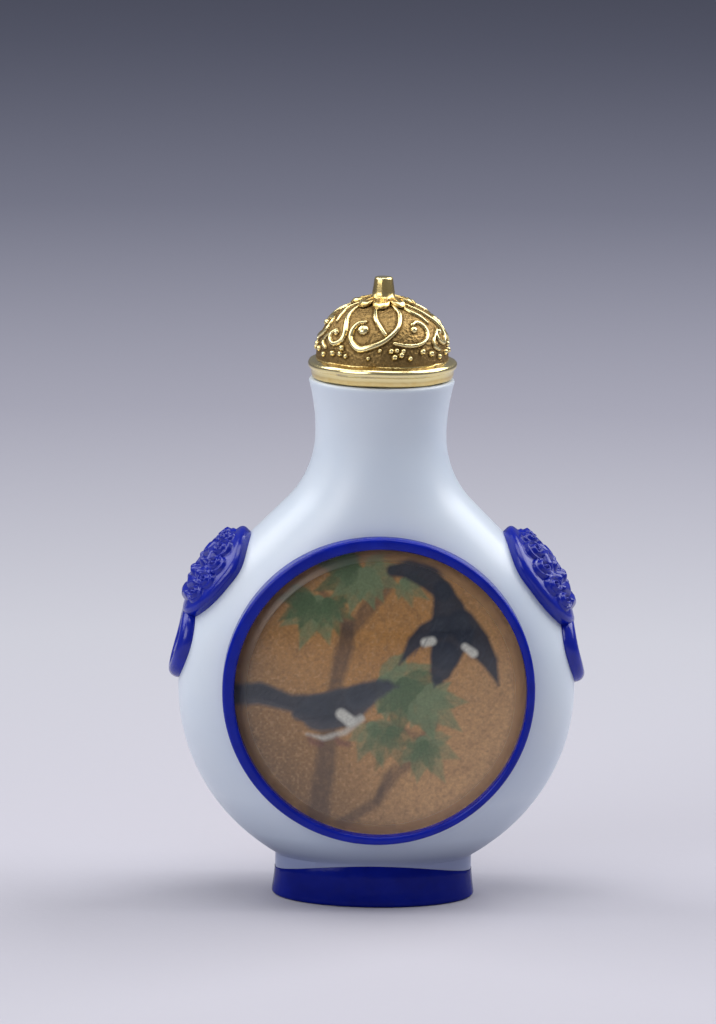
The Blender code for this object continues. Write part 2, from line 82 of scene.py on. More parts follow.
foot_top_half_width = foot_half_width - foot_taper
foot_top_half_depth = foot_half_depth - foot_taper
body_centre = foot_height + math.sqrt(body_radius**2 - foot_top_half_width**2)
shoulder_height = body_centre + body_radius * math.sin(shoulder_slope)
fillet_reach = body_radius + shoulder_fillet - (neck_radius + shoulder_fillet) * math.cos(shoulder_slope)
neck_height = body_centre + fillet_reach / math.sin(shoulder_slope)
fillet_start = neck_height - shoulder_fillet * math.sin(shoulder_slope)
lip_start = mouth_height - lip_rounding


def oval(half_width, half_depth, squareness, height, sides=body_sides):
    """A ring of points round the bottle, level unless height is an array with a value for each point."""
    angle = np.linspace(0, 2 * np.pi, sides, endpoint=False)
    x, y = np.cos(angle), np.sin(angle)
    power = 2 / squareness
    return np.stack([
        half_width * np.sign(x) * np.abs(x) ** power,
        half_depth * np.sign(y) * np.abs(y) ** power,
        np.zeros(sides) + height,
    ], axis=1)


def body_section(z):
    """Half width, half depth and squareness of the glass at a height from the foot's top to the mouth."""
    if z >= neck_height:
        share = (z - neck_height) / (mouth_height - neck_height)
        radius = neck_radius + (mouth_radius - neck_radius) * share**2
        return radius, radius, 2
    if z >= fillet_start:
        half_width = neck_radius + shoulder_fillet - math.sqrt(shoulder_fillet**2 - (neck_height - z) ** 2)
    elif z >= shoulder_height:
        rise = z - body_centre
        half_width = (body_radius - rise * math.sin(shoulder_slope)) / math.cos(shoulder_slope)
    else:
        half_width = math.sqrt(body_radius**2 - (z - body_centre) ** 2)
    if z >= body_centre:
        share = (z - body_centre) / (neck_height - body_centre)
        half_depth = neck_radius + (body_half_depth - neck_radius) * (1 - share**2) ** 1.5
    else:
        share = (body_centre - z) / (body_centre - foot_height)
        narrowing = 1 - (foot_top_half_depth / body_half_depth) ** belly_rounding
        half_depth = body_half_depth * (1 - narrowing * share**belly_rounding) ** (1 / belly_rounding)
    return half_width, half_depth, 2 + (body_squareness - 2) * (1 - share**2) ** 2


def foot_section(z, inset=0.0):
    """Half width and half depth of the foot, which flares downwards and is rounded at its lower edge."""
    flare = foot_taper * (1 - z / foot_height) ** 2
    eased = foot_rounding - math.sqrt(foot_rounding**2 - max(0.0, foot_rounding - z) ** 2)
    grown = flare - eased - inset
    return foot_top_half_width + grown, foot_top_half_depth + grown


def closed_piece(name, rings, joined_ends=False, sharp=40):
    """A smooth mesh object skinned over rings of equally many points, with its faces turned outwards."""
    rings = np.asarray(rings)
    count, sides = rings.shape[:2]
    number = np.arange(count * sides).reshape(count, sides)
    rows = np.vstack([number, number[:1]]) if joined_ends else number
    lower, upper = rows[:-1], rows[1:]
    quads = np.stack([lower, np.roll(lower, -1, 1), np.roll(upper, -1, 1), upper], axis=-1)
    faces = quads.reshape(-1, 4).tolist()
    if not joined_ends:
        faces += [number[0][::-1].tolist(), number[-1].tolist()]
    mesh = bpy.data.meshes.new(name)
    mesh.from_pydata(rings.reshape(-1, 3).tolist(), [], faces)
    shape = bmesh.new()
    shape.from_mesh(mesh)
    if shape.calc_volume(signed=True) < 0:
        bmesh.ops.reverse_faces(shape, faces=shape.faces)
    shape.to_mesh(mesh)
    shape.free()
    mesh.shade_smooth()
    mesh.set_sharp_from_angle(angle=math.radians(sharp))
    made = bpy.data.objects.new(name, mesh)
    bpy.context.scene.collection.objects.link(made)
    return made


def band_top():
    """Height of the blue band's upper edge at each point of a ring, more on the faces than the sides."""
    angle = np.linspace(0, 2 * np.pi, body_sides, endpoint=False)
    return band_side_height + (band_front_height - band_side_height) * np.sin(angle) ** 2


rim_width, rim_depth = foot_section(0, foot_rim)
rings = [oval(rim_width * share, rim_depth * share, 2, foot_hollow) for share in (0.02, 0.5)]
hollow_slant = foot_hollow / 2
rings.append(oval(rim_width - hollow_slant, rim_depth - hollow_slant, 2, foot_hollow))
rings.append(oval(rim_width, rim_depth, 2, 0))
rings.append(oval(*foot_section(0, band_thickness), 2, 0))
for z in np.linspace(foot_rounding, band_side_height, 5):
    rings.append(oval(*foot_section(z, band_thickness), 2, z))
rings.append(oval(*foot_section(band_front_height, band_thickness), 2, band_top()))
rings.append(oval(*foot_section(band_front_height), 2, band_top()))
foot_angle = math.atan2(foot_height - body_centre, foot_top_half_width)
body_turns = np.linspace(foot_angle, shoulder_slope, 90)
fillet_turns = np.linspace(shoulder_slope, 0, 28)[1:]
levels = [body_centre + body_radius * math.sin(turn) for turn in body_turns]
levels += list(np.linspace(shoulder_height, fillet_start, 16)[1:])
levels += [neck_height - shoulder_fillet * math.sin(turn) for turn in fillet_turns]
levels += list(np.linspace(neck_height, lip_start, 16)[1:])
rings += [oval(*body_section(z), z) for z in levels]
lip_radius = body_section(lip_start)[0] - lip_rounding
for turn in np.linspace(0, math.pi / 2, 7)[1:]:
    radius = lip_radius + lip_rounding * math.cos(turn)
    rings.append(oval(radius, radius, 2, lip_start + lip_rounding * math.sin(turn)))
rings.append(oval(bore_radius, bore_radius, 2, mouth_height))
cavity_radius = body_radius - side_wall
cavity_half_depth = seat_depth - plaque_wall
bore_start = math.sqrt(cavity_radius**2 - bore_radius**2)
cavity_top = math.asin(bore_start / cavity_radius)
cavity_floor = math.asin(floor_wall / cavity_radius - 1)
for turn in np.linspace(cavity_top, cavity_floor, 40):
    rise = math.sin(turn)
    least = bore_radius if rise > 0 else 0.0
    half_depth = max(least, cavity_half_depth * (1 - abs(rise) ** belly_rounding) ** (1 / belly_rounding))
    rings.append(oval(cavity_radius * math.cos(turn), half_depth, 2, body_centre + cavity_radius * rise))
bottle = closed_piece("white_glass_bottle", rings)


def roundel_circle(side, radius, depth, sides=180):
    """A circle on the front (side -1) or the back (side 1), at that distance from the middle plane."""
    angle = np.linspace(0, 2 * np.pi, sides, endpoint=False)
    across = radius * np.cos(angle)
    up = roundel_centre + radius * np.sin(angle)
    return np.stack([across, np.full(sides, side * depth), up], axis=1)


for side in (-1, 1):
    seat_rings = [roundel_circle(side, roundel_radius, depth) for depth in (seat_depth, seat_cutter_reach)]
    seat = closed_piece("seat", seat_rings)
    cut = bottle.modifiers.new("seat", "BOOLEAN")
    cut.operation = "DIFFERENCE"
    cut.object = seat
    with bpy.context.temp_override(object=bottle, active_object=bottle):
        bpy.ops.object.modifier_apply(modifier=cut.name)
    bpy.data.objects.remove(seat)
bottle.data.shade_smooth()
bottle.data.set_sharp_from_angle(angle=math.radians(40))


def shader_of(name):
    """A new material's nodes, its links and its Principled shader."""
    made = bpy.data.materials.new(name)
    made.use_nodes = True
    tree = made.node_tree
    return made, tree, tree.nodes["Principled BSDF"]


def noise(tree, scale, detail=3.0, roughness=0.5):
    """Noise in the object's own space, where scale counts its features in a metre."""
    place = tree.nodes.new("ShaderNodeTexCoord")
    made = tree.nodes.new("ShaderNodeTexNoise")
    made.inputs["Scale"].default_value = scale
    made.inputs["Detail"].default_value = detail
    made.inputs["Roughness"].default_value = roughness
    tree.links.new(place.outputs["Object"], made.inputs["Vector"])
    return made.outputs["Fac"]


def ramp(tree, source, *stops):
    """Colours, or greys for single numbers, spread over the source's values."""
    made = tree.nodes.new("ShaderNodeValToRGB")
    steps = made.color_ramp.elements
    while len(steps) < len(stops):
        steps.new(0.5)
    for step, (position, colour) in zip(steps, stops):
        step.position = position
        if isinstance(colour, (int, float)):
            colour = (colour, colour, colour)
        step.color = (*colour, 1)
    tree.links.new(source, made.inputs["Fac"])
    return made.outputs["Color"]


def bump(tree, shader, height, distance, strength=1.0):
    """Shallow relief over the surface, distance deep in metres."""
    made = tree.nodes.new("ShaderNodeBump")
    made.inputs["Strength"].default_value = strength
    made.inputs["Distance"].default_value = distance
    tree.links.new(height, made.inputs["Height"])
    tree.links.new(made.outputs["Normal"], shader.inputs["Normal"])
    return made


white_glass, tree, shader = shader_of("white_glass")
cloudy = ramp(tree, noise(tree, 90, 4), (0.3, (0.66, 0.74, 0.84)), (0.7, (0.72, 0.78, 0.85)))
place = tree.nodes.new("ShaderNodeTexCoord")
split = tree.nodes.new("ShaderNodeSeparateXYZ")
tree.links.new(place.outputs["Object"], split.inputs[0])
in_bodies = tree.nodes.new("ShaderNodeMath")
in_bodies.operation = "DIVIDE"
in_bodies.inputs[1].default_value = body_centre
tree.links.new(split.outputs["Z"], in_bodies.inputs[0])
# Painted shade: the glass's colour darkens towards the foot, with a bluish cast as a painted reflection of
# the blue band, where the body curves under and gets little light.
painted_foot_shade = ramp(tree, in_bodies.outputs["Value"], (0.19, (0.34, 0.36, 0.52)), (0.225, (0.35, 0.365, 0.45)),
               (0.32, (0.74, 0.76, 0.80)), (0.50, 1.0))
foot_shade_mix = tree.nodes.new("ShaderNodeMix")
foot_shade_mix.data_type = "RGBA"
foot_shade_mix.blend_type = "MULTIPLY"
foot_shade_mix.inputs["Factor"].default_value = 1.0
tree.links.new(cloudy, foot_shade_mix.inputs["A"])
tree.links.new(painted_foot_shade, foot_shade_mix.inputs["B"])
tree.links.new(foot_shade_mix.outputs["Result"], shader.inputs["Base Color"])
tree.links.new(ramp(tree, noise(tree, 900, 3), (0.3, 0.30), (0.7, 0.34)), shader.inputs["Roughness"])
shader.inputs["Subsurface Weight"].default_value = 0.15
shader.inputs["Subsurface Radius"].default_value = (1.0, 1.0, 1.0)
shader.inputs["Subsurface Scale"].default_value = 0.0008
shader.inputs["IOR"].default_value = 1.5
bump(tree, shader, noise(tree, 160, 2), 0.00004)
bottle.data.materials.append(white_glass)
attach(bottle, "root")
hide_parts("bottle")

# Band of cobalt glass, fused round the foot and ground back with it to a flared, softly rounded edge.
# Its upper edge is cut higher on the two faces than on the narrow sides.

band_bevel_height = 0.00012
band_bevel_width = 0.00008

outer = [oval(*foot_section(z), 2, z) for z in foot_rounding * (1 - np.cos(np.linspace(0, np.pi / 2, 8)))]
outer += [oval(*foot_section(z), 2, z) for z in np.linspace(foot_rounding, band_side_height, 10)[1:]]
outer.append(oval(*foot_section(band_front_height), 2, band_top() - band_bevel_height))
outer.append(oval(*foot_section(band_front_height, band_bevel_width), 2, band_top()))
inner = [oval(*foot_section(band_front_height, band_thickness), 2, band_top())]
inner += [oval(*foot_section(z, band_thickness), 2, z) for z in (band_side_height / 2, 0)]
foot_band = closed_piece("blue_foot_band", outer + inner, joined_ends=True)


def cobalt(name, strength, gloss):
    """The blue glass. A strength below 1 makes a darker copy as painted shade, and a higher gloss makes
    carved facets glint more.
    """
    made, tree, shader = shader_of(name)
    deep = np.array((0.0010, 0.0085, 0.265)) * strength
    light = np.array((0.0022, 0.0140, 0.360)) * strength
    colour = ramp(tree, noise(tree, 400, 4), (0.3, tuple(deep)), (0.7, tuple(light)))
    tree.links.new(colour, shader.inputs["Base Color"])
    tree.links.new(ramp(tree, noise(tree, 1500, 4), (0.35, 0.16), (0.7, 0.26)), shader.inputs["Roughness"])
    shader.inputs["IOR"].default_value = 1.54
    shader.inputs["Specular IOR Level"].default_value = gloss
    bump(tree, shader, noise(tree, 900, 3), 0.00004)
    return made


# The foot band's copy is darkened to 0.60 as painted shade, since little light reaches the foot from the
# front.
foot_band.data.materials.append(cobalt("blue_glass_foot_painted_shade", 0.60, 0.10))
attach(foot_band, "root")
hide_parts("foot_band")

# Rings of the same cobalt glass round the two roundels, standing proud of the white glass.
# Each was fused on and turned true, with a narrow flat face and rounded edges.

ring_width = 0.00105
ring_edge = 0.00035
ring_inner = roundel_radius - ring_width
opening_aside = 0.0002
opening_down = 0.00015

blue_glass = cobalt("blue_glass", 1.0, 0.20)


def blue_ring(side, name):
    """A ring in its seat, whose opening lies a little to one side and low in it."""
    profile = [(ring_inner, seat_depth), (roundel_radius, seat_depth)]
    for turn in np.linspace(0, np.pi / 2, 9):
        profile.append((roundel_radius - ring_edge * (1 - math.cos(turn)),
                        ring_face - ring_edge * (1 - math.sin(turn))))
    for turn in np.linspace(np.pi / 2, np.pi, 9):
        profile.append((ring_inner + ring_edge * (1 + math.cos(turn)),
                        ring_face - ring_edge * (1 - math.sin(turn))))
    rings = [roundel_circle(side, radius, depth) for radius, depth in profile]
    for ring, (radius, depth) in zip(rings, profile):
        if radius < (ring_inner + roundel_radius) / 2:
            ring += (opening_aside, 0, -opening_down)
    made = closed_piece(name, rings, True)
    made.data.materials.append(blue_glass)
    return made


for side, face in ((-1, "front"), (1, "back")):
    ring = blue_ring(side, f"blue_{face}_ring")
    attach(ring, "root")
    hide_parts(f"{face}_ring")

# Painted plaques: a thin disc with a picture in fine brushwork on an amber ground, behind the crystal.
# The front has two dark birds among leaves and branches, and the back a plain leafy spray.

plaque_low, plaque_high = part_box("front_plaque")
plaque_clearance = 0.00005
plaque_radius = ring_inner - plaque_clearance
plaque_back, plaque_face = -plaque_high.y, -plaque_low.y
millimetre = 0.001
random_table = np.random.default_rng(11).random((4, 64, 64))


def cloud(across, up, size, table):
    """Soft random light and dark from 0 to 1, in patches of that size."""
    x, y = across / size + 200, up / size + 200
    column, row = np.floor(x).astype(int), np.floor(y).astype(int)
    x, y = x - column, y - row
    x, y = x * x * (3 - 2 * x), y * y * (3 - 2 * y)
    grid = random_table[table]
    corner = [[grid[(row + j) % 64, (column + i) % 64] for i in (0, 1)] for j in (0, 1)]
    low = corner[0][0] + (corner[0][1] - corner[0][0]) * x
    high = corner[1][0] + (corner[1][1] - corner[1][0]) * x
    return low + (high - low) * y


def stroke(across, up, path, soft=0.12):
    """How much a brush stroke covers each place. The path lists points as across, up and half width."""
    nearest = np.full(across.shape, 1e3)
    for (x0, y0, w0), (x1, y1, w1) in zip(path, path[1:]):
        run = (x1 - x0) ** 2 + (y1 - y0) ** 2
        along = np.clip(((across - x0) * (x1 - x0) + (up - y0) * (y1 - y0)) / run, 0, 1)
        far = np.hypot(across - x0 - along * (x1 - x0), up - y0 - along * (y1 - y0))
        nearest = np.minimum(nearest, far - w0 - along * (w1 - w0))
    return np.clip(0.5 - nearest / (2 * soft), 0, 1)


def lay(canvas, cover, colour, strength=1.0):
    """Lays a colour over the canvas where the stroke covers it."""
    canvas += (np.array(colour) - canvas) * (cover * strength)[:, None]


def leaf(canvas, across, up, root, turn, size, colour, strength=0.9):
    """A leaf that opens from its root in the direction turn, with five pointed lobes and dark ribs."""
    dark = np.array(colour) * 0.55
    for spread, reach in ((-72, 0.62), (-36, 0.88), (0, 1.0), (36, 0.88), (72, 0.62)):
        angle = math.radians(turn + spread)
        way = np.array([math.cos(angle), math.sin(angle)]) * size * reach
        widths = ((0.0, 0.12), (0.35, 0.20), (0.55, 0.17), (1.0, 0.0))
        lobe = [(*(root + way * share), size * width) for share, width in widths]
        cover = stroke(across, up, lobe, 0.14) * (0.65 + 0.35 * cloud(across, up, 0.5, 1))
        lay(canvas, cover, colour, strength)
        rib = [(*(root + way * share), 0.04) for share in (0.05, 0.85)]
        lay(canvas, stroke(across, up, rib, 0.1), dark, 0.45 * strength)


amber = (0.58, 0.31, 0.11)
amber_bright = (0.56, 0.26, 0.06)
amber_pale = (0.76, 0.47, 0.24)
amber_shade = (0.20, 0.115, 0.055)
bark = (0.115, 0.070, 0.045)
slate = (0.008, 0.018, 0.042)
slate_light = (0.050, 0.065, 0.095)
chalk = (0.80, 0.82, 0.78)
leaf_green = (0.090, 0.165, 0.070)
leaf_pale = (0.205, 0.285, 0.145)
foot_red = (0.20, 0.07, 0.06)


def paint_ground(canvas, across, up):
    """The amber ground: paler towards the lower right, darker at the lower left, and darker round the edge
    as a painted shadow inside the blue ring.
    """
    lay(canvas, cloud(across, up, 5, 0), amber_bright, 0.3)
    lay(canvas, np.exp(-((across - 1) ** 2 + (up - 5) ** 2) / 60), amber_bright, 0.7)
    lay(canvas, np.clip((across - up + 2) / 22, 0, 1), amber_pale, 0.75)
    lay(canvas, np.clip((-across * 1.1 - up - 6) / 14, 0, 1), amber_shade, 0.85)
    # Painted shadow: a dark band round the edge stands for the shade cast inside the blue ring.
    lay(canvas, np.clip((np.hypot(across, up) - 13.4) / 1.5, 0, 1), amber_shade, 0.75)
    lay(canvas, cloud(across, up, 0.9, 1), amber_shade, 0.18)
    lay(canvas, cloud(across, up, 0.28, 2) ** 3, amber_shade, 0.45)
    lay(canvas, cloud(across, up, 0.22, 3) ** 4, amber_pale, 0.5)


def paint_front(canvas, across, up):
    """A trunk with branches and leaves, one bird perched on the left and one flying down on the right."""
    brushed = 0.75 + 0.25 * cloud(across * 2, up, 0.6, 2)
    trunk = [(-6.4, -15, 1.2), (-6.0, -11, 1.1), (-5.6, -8, 1.05), (-5.3, -4, 0.9), (-4.6, 1, 0.75),
             (-3.8, 4.6, 0.9), (-3.4, 7.0, 0.7)]
    lay(canvas, stroke(across, up, trunk, 0.35) * brushed, bark, 0.85)
    for branch in (
        [(-3.5, 6.2, 0.7), (-1.7, 8.4, 0.8), (0.3, 11.0, 0.7), (1.0, 12.2, 0.4)],
        [(-3.5, 6.2, 0.5), (-4.6, 8.8, 0.45), (-6.2, 10.4, 0.3)],
        [(-3.8, -14, 0.6), (-0.2, -11.6, 0.55), (1.5, -9, 0.5), (3.7, -6.7, 0.5), (5.4, -3.1, 0.65)],
        [(-0.2, -11.6, 0.3), (0.8, -8.8, 0.45), (1.5, -7.8, 0.2)],
        [(-1.4, -3.2, 0.16), (1.4, -3.3, 0.2), (3.8, -4.6, 0.25), (6.0, -5.4, 0.2)],
        [(0.2, -1.0, 0.16), (3.8, -1.0, 0.3)],
    ):
        lay(canvas, stroke(across, up, branch, 0.26) * brushed, bark, 0.72)
    for root, turn, size, colour, strength in (
        ((-6.6, 9.4), 250, 5.4, leaf_pale, 0.9),
        ((-7.4, 9.6), 215, 4.0, leaf_green, 0.9),
        ((-5.6, 9.4), 290, 3.8, leaf_green, 0.75),
        ((-2.6, 12.6), 205, 5.0, leaf_green, 0.9),
        ((-2.2, 12.4), 255, 4.6, leaf_pale, 0.9),
        ((-1.6, 12.6), 335, 4.2, leaf_pale, 0.8),
        ((-3.0, 13.2), 180, 4.0, leaf_green, 0.7),
        ((2.2, 11.6), 325, 3.2, leaf_pale, 0.75),
        ((0.4, 1.0), 345, 6.4, leaf_pale, 0.9),
        ((2.4, 0.8), 300, 6.6, leaf_green, 0.85),
        ((4.4, -0.6), 320, 5.4, leaf_pale, 0.85),
        ((-0.8, -3.6), 285, 4.6, leaf_pale, 0.65),
        ((1.2, -4.0), 250, 4.6, leaf_green, 0.55),
        ((4.4, -5.2), 300, 5.0, leaf_pale, 0.7),
        ((4.6, -5.4), 250, 3.8, leaf_green, 0.55),
    ):
        leaf(canvas, across, up, np.array(root), turn, size, colour, strength)

    feathers = 0.55 + 0.45 * cloud(across + up, (up - across) * 3, 0.9, 3)
    perched = [
        [(-14.6, -0.5, 1.1), (-12.5, -0.3, 1.15), (-9.2, -1.3, 0.85), (-6.2, -1.5, 1.2)],
        [(-8.6, -2.4, 0.5), (-6.3, -2.2, 1.9), (-3.6, -1.6, 2.1), (-1.8, -0.6, 1.3)],
        [(-2.4, -0.5, 1.3), (-0.2, 0.4, 0.95), (0.6, 0.6, 0.6)],
        [(0.5, 0.7, 0.3), (1.8, 0.6, 0.02)],
    ]
    for part in perched:
        lay(canvas, stroke(across, up, part, 0.25), slate_light, 0.94)
        plumage = [(x, y + 0.3, w * 0.75) for x, y, w in part]
        lay(canvas, stroke(across, up, plumage, 0.4) * feathers, slate, 0.8)
    wing_line = [(-8.6, -3.0, 0.1), (-5.6, -2.6, 0.12), (-3.6, -2.2, 0.1)]
    tail_line = [(-12.0, -0.8, 0.08), (-9.0, -1.6, 0.12)]
    for line in (wing_line, tail_line):
        lay(canvas, stroke(across, up, line, 0.16), slate, 0.6)
    belly = [(-7.5, -4.5, 0.1), (-5.8, -4.9, 0.26), (-3.6, -4.2, 0.3), (-1.8, -2.8, 0.25)]
    lay(canvas, stroke(across, up, belly, 0.2), chalk, 0.6)
    lay(canvas, stroke(across, up, [(-4.0, -2.3, 0.55), (-3.1, -3.0, 0.6)], 0.2), chalk, 0.92)
    lay(canvas, stroke(across, up, [(-2.4, -2.9, 0.3), (-2.0, -2.6, 0.3)], 0.2), chalk, 0.6)
    for x in (-7.2, -4.4):
        claw = [(x, -4.9, 0.25), (x + 0.3, -5.3, 0.35), (x + 1.2, -5.5, 0.25)]
        lay(canvas, stroke(across, up, claw, 0.25), foot_red, 0.7)

    flying = [
        [(1.0, 12.8, 0.6), (2.7, 12.9, 0.95), (4.8, 12.0, 1.2), (6.3, 10.6, 0.95)],
        [(6.2, 10.9, 0.95), (6.9, 8.6, 1.7), (7.2, 6.2, 2.3), (6.6, 3.9, 1.5)],
        [(6.6, 3.9, 1.5), (6.2, 2.4, 1.15), (5.9, 1.6, 0.7)],
        [(6.2, 7.0, 1.2), (4.6, 6.3, 1.05), (3.4, 5.3, 0.75), (1.9, 3.0, 0.04)],
        [(8.2, 7.3, 1.5), (9.8, 5.4, 1.35), (11.2, 3.4, 0.85), (12.2, 0.9, 0.04)],
        [(5.8, 1.5, 0.35), (5.5, 0.6, 0.02)],
    ]
    for part in flying:
        lay(canvas, stroke(across, up, part, 0.22), slate, 0.96)
        plumage = [(x, y, w * 0.6) for x, y, w in part]
        lay(canvas, stroke(across, up, plumage, 0.35) * (1 - feathers), slate_light, 0.9)
    for spot in ([(4.5, 5.3, 0.46), (5.2, 5.45, 0.44)], [(8.6, 4.9, 0.36), (9.5, 4.2, 0.46)]):
        lay(canvas, stroke(across, up, spot, 0.18), chalk, 0.92)
    flecks = ((4.2, 4.6), (3.4, 3.9), (10.2, 3.4), (11.0, 2.5),
              (9.2, 6.0), (5.2, 6.6), (6.2, 5.0), (7.8, 4.6))
    for x, y in flecks:
        lay(canvas, stroke(across, up, [(x, y, 0.06), (x + 0.5, y + 1.1, 0.06)], 0.12), slate_light, 0.6)


def paint_back(canvas, across, up):
    """One bough with two branches and seven pairs of leaves."""
    brushed = 0.75 + 0.25 * cloud(across * 2, up, 0.6, 2)
    bough = [(7.5, -14, 0.9), (4.8, -8, 0.7), (2.6, -2.5, 0.55), (0.4, 2.4, 0.45), (-3.6, 6.8, 0.3),
             (-7.8, 9.6, 0.15)]
    lay(canvas, stroke(across, up, bough, 0.25) * brushed, bark, 0.85)
    upper_branch = [(2.6, -2.5, 0.35), (6.4, 2.2, 0.25), (8.2, 6.6, 0.12)]
    lower_branch = [(4.8, -8, 0.3), (-0.6, -6.4, 0.2), (-5, -7, 0.1)]
    for branch in (upper_branch, lower_branch):
        lay(canvas, stroke(across, up, branch, 0.2) * brushed, bark, 0.75)
    sprigs = ((-7, 9.2), (-3.4, 6.6), (0.4, 2.4), (8.1, 6.4), (6, 2), (-4.8, -7), (-0.8, -6.4))
    for number, (x, y) in enumerate(sprigs):
        for k in (0, 1):
            colour = leaf_green if k else leaf_pale
            turn = 60 + 97 * number + 150 * k
            leaf(canvas, across, up, np.array((x, y)), turn, 4.2 - 0.4 * k, colour, 0.85)


def plaque(side, name, paint, cells):
    """A thin disc whose face is a fine net, each of its points holding the paint's colour there."""
    steps = np.linspace(-1, 1, cells + 1)
    x, y = np.meshgrid(steps, steps)
    reach = np.maximum(np.abs(x), np.abs(y))
    wide = np.abs(x) > np.abs(y)
    turn = np.where(wide, y / np.where(x == 0, 1, x), x / np.where(y == 0, 1, y)) * np.pi / 4
    across = np.where(wide, np.sign(x) * reach * np.cos(turn), np.sign(y) * reach * np.sin(turn))
    up = np.where(wide, np.sign(x) * reach * np.sin(turn), np.sign(y) * reach * np.cos(turn))
    face = np.stack([across.ravel() * plaque_radius, np.full(x.size, side * plaque_face),
                     roundel_centre + up.ravel() * plaque_radius], axis=1)
    number = np.arange(x.size).reshape(x.shape)
    corners = [number[:-1, :-1], number[:-1, 1:], number[1:, 1:], number[1:, :-1]]
    quads = np.stack(corners, -1).reshape(-1, 4)
    edge = np.concatenate([number[0, :-1], number[:-1, -1], number[-1, :0:-1], number[:0:-1, 0]])
    under = face[edge].copy()
    under[:, 1] = side * plaque_back
    below = x.size + np.arange(len(edge))
    wall = np.stack([edge, below, np.roll(below, -1), np.roll(edge, -1)], -1)
    mesh = bpy.data.meshes.new(name)
    faces = quads.tolist() + wall.tolist() + [below.tolist()]
    mesh.from_pydata(np.vstack([face, under]).tolist(), [], faces)
    shape = bmesh.new()
    shape.from_mesh(mesh)
    bmesh.ops.recalc_face_normals(shape, faces=shape.faces)
    shape.to_mesh(mesh)
    shape.free()
    across_mm = -side * mesh_column(mesh, 0) / millimetre
    up_mm = (mesh_column(mesh, 2) - roundel_centre) / millimetre
    canvas = np.tile(np.array(amber), (len(across_mm), 1))
    paint_ground(canvas, across_mm, up_mm)
    paint(canvas, across_mm, up_mm)
    colours = mesh.color_attributes.new("paint", "FLOAT_COLOR", "POINT")
    colours.data.foreach_set("color", np.column_stack([canvas, np.ones(len(canvas))]).ravel())
    mesh.transform(Matrix.Translation((opening_aside, 0, -opening_down)))
    made = bpy.data.objects.new(name, mesh)
    bpy.context.scene.collection.objects.link(made)
    return made


def mesh_column(mesh, axis):
    """The x, y or z of every point of a mesh."""
    places = np.empty(len(mesh.vertices) * 3)
    mesh.vertices.foreach_get("co", places)
    return places.reshape(-1, 3)[:, axis]


paint, tree, shader = shader_of("plaque_paint")
pigment = tree.nodes.new("ShaderNodeAttribute")
pigment.attribute_name = "paint"
grain = tree.nodes.new("ShaderNodeMix")
grain.data_type = "RGBA"
grain.blend_type = "MULTIPLY"
grain.inputs["Factor"].default_value = 0.6
tree.links.new(pigment.outputs["Color"], grain.inputs["A"])
tree.links.new(ramp(tree, noise(tree, 4200, 3), (0.3, 0.62), (0.7, 1.0)), grain.inputs["B"])
tree.links.new(grain.outputs["Result"], shader.inputs["Base Color"])
shader.inputs["Roughness"].default_value = 0.55
bump(tree, shader, noise(tree, 2600, 4), 0.00005)
for side, face, picture, cells in ((-1, "front", paint_front, 290), (1, "back", paint_back, 200)):
    disc = plaque(side, f"painted_{face}_plaque", picture, cells)
    disc.data.materials.append(paint)
    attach(disc, "root")
    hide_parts(f"{face}_plaque")

# Rock crystal covers, ground to a low dome with a narrow bevel and cemented inside the blue rings.
# The dome is polished clear, and the bevel is left a little dull, so it holds a soft light.

crystal_back = -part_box("front_crystal")[1].y
crystal_sink = 0.00011
crystal_shoulder = 0.0007
crystal_bevel = 0.0011
crystal_bevel_rise = 0.00065
crystal_dome = 0.0014
dome_rim = plaque_radius - crystal_bevel


def crystal(side, name):
    """A round cover with a flat back, a short upright edge, a bevel and a low dome."""
    shoulder = crystal_back + crystal_shoulder
    bevel_top = shoulder + crystal_bevel_rise
    sunk = crystal_back - crystal_sink
    rings = [roundel_circle(side, plaque_radius * share, sunk) for share in (0.02, 0.5, 1)]
    rings += [roundel_circle(side, plaque_radius, shoulder), roundel_circle(side, dome_rim, bevel_top)]
    for share in np.linspace(1, 0, 40)[1:-1]:
        rings.append(roundel_circle(side, dome_rim * share, bevel_top + crystal_dome * (1 - share**2)))
    made = closed_piece(name, rings, sharp=12)
    made.data.transform(Matrix.Translation((opening_aside, 0, -opening_down)))
    return made


clear, tree, shader = shader_of("clear_crystal")
shader.inputs["Base Color"].default_value = (0.98, 0.97, 0.95, 1)
shader.inputs["Transmission Weight"].default_value = 1.0
shader.inputs["IOR"].default_value = 1.54
shader.inputs["Specular IOR Level"].default_value = 0.4
place = tree.nodes.new("ShaderNodeTexCoord")
from_middle = tree.nodes.new("ShaderNodeVectorMath")
from_middle.operation = "MULTIPLY_ADD"
from_middle.inputs[1].default_value = (1, 0, 1)
from_middle.inputs[2].default_value = (-opening_aside, 0, opening_down - roundel_centre)
tree.links.new(place.outputs["Object"], from_middle.inputs[0])
reach = tree.nodes.new("ShaderNodeVectorMath")
reach.operation = "LENGTH"
tree.links.new(from_middle.outputs["Vector"], reach.inputs[0])
in_radii = tree.nodes.new("ShaderNodeMath")
in_radii.operation = "DIVIDE"
in_radii.inputs[1].default_value = plaque_radius
tree.links.new(reach.outputs["Value"], in_radii.inputs[0])
ground_edge = ramp(tree, in_radii.outputs["Value"], (0.91, 0.02), (0.93, 0.42))
tree.links.new(ground_edge, shader.inputs["Roughness"])
bump(tree, shader, noise(tree, 350, 2), 0.00001)
for side, face in ((-1, "front"), (1, "back")):
    cover = crystal(side, f"crystal_{face}_cover")
    cover.data.materials.append(clear)
    cover.visible_shadow = False
    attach(cover, "root")
    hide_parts(f"{face}_crystal")

